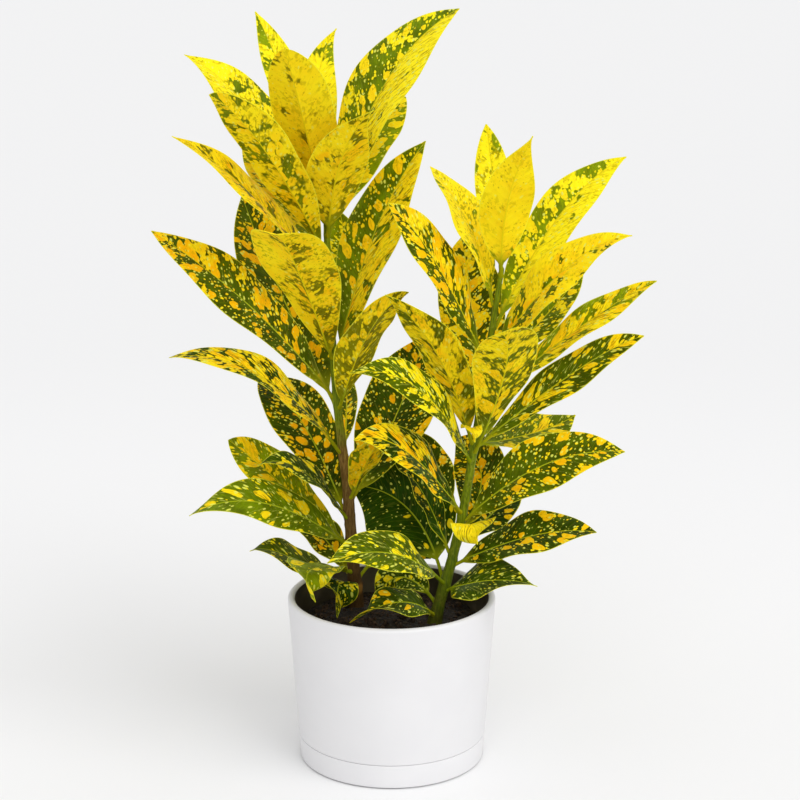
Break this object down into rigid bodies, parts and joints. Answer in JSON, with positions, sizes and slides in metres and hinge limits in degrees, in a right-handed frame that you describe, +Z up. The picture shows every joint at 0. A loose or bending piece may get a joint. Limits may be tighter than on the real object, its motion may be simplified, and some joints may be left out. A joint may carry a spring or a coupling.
{
  "type": "potted gold dust croton",
  "caption": "Leafy house plant with yellow-speckled, pointed oval leaves on two upright stems, in a round white ceramic pot with a flush saucer.",
  "frame": {"origin": "middle of the saucer's underside, on the surface that the plant stands on", "axes": "+Z up along the stems, +X to the right and -Y towards the side seen in the picture"},
  "size_m": [0.3545, 0.2055, 0.5355],
  "materials": {
    "white_ceramic": "satin",
    "dark_soil": "matte",
    "stem_bark": "matte",
    "speckled_leaf": "semi-gloss"
  },
  "bodies": {
    "root": {"pot": "white_ceramic", "saucer": "white_ceramic", "short_leaf_01": "speckled_leaf", "short_leaf_02": "speckled_leaf", "short_leaf_03": "speckled_leaf", "short_leaf_04": "speckled_leaf", "short_leaf_05": "speckled_leaf", "short_leaf_06": "speckled_leaf", "short_leaf_07": "speckled_leaf", "short_leaf_08": "speckled_leaf", "short_leaf_09": "speckled_leaf", "short_leaf_10": "speckled_leaf", "short_leaf_11": "speckled_leaf", "short_leaf_12": "speckled_leaf", "short_leaf_13": "speckled_leaf", "short_leaf_14": "speckled_leaf", "short_leaf_15": "speckled_leaf", "short_leaf_16": "speckled_leaf", "short_leaf_17": "speckled_leaf", "short_leaf_18": "speckled_leaf", "short_leaf_19": "speckled_leaf", "short_leaf_20": "speckled_leaf", "short_leaf_21": "speckled_leaf", "short_leaf_22": "speckled_leaf", "short_leaf_23": "speckled_leaf", "short_leaf_24": "speckled_leaf", "short_leaf_25": "speckled_leaf", "short_leaf_26": "speckled_leaf", "short_leaf_27": "speckled_leaf", "short_stem": "stem_bark", "soil": "dark_soil", "tall_leaf_01": "speckled_leaf", "tall_leaf_02": "speckled_leaf", "tall_leaf_03": "speckled_leaf", "tall_leaf_04": "speckled_leaf", "tall_leaf_05": "speckled_leaf", "tall_leaf_06": "speckled_leaf", "tall_leaf_07": "speckled_leaf", "tall_leaf_08": "speckled_leaf", "tall_leaf_09": "speckled_leaf", "tall_leaf_10": "speckled_leaf", "tall_leaf_11": "speckled_leaf", "tall_leaf_12": "speckled_leaf", "tall_leaf_13": "speckled_leaf", "tall_leaf_14": "speckled_leaf", "tall_leaf_15": "speckled_leaf", "tall_leaf_16": "speckled_leaf", "tall_leaf_17": "speckled_leaf", "tall_leaf_18": "speckled_leaf", "tall_leaf_19": "speckled_leaf", "tall_leaf_20": "speckled_leaf", "tall_leaf_21": "speckled_leaf", "tall_leaf_22": "speckled_leaf", "tall_leaf_23": "speckled_leaf", "tall_leaf_24": "speckled_leaf", "tall_leaf_25": "speckled_leaf", "tall_leaf_26": "speckled_leaf", "tall_leaf_27": "speckled_leaf", "tall_leaf_28": "speckled_leaf", "tall_stem": "stem_bark"}
  },
  "joints": []
}
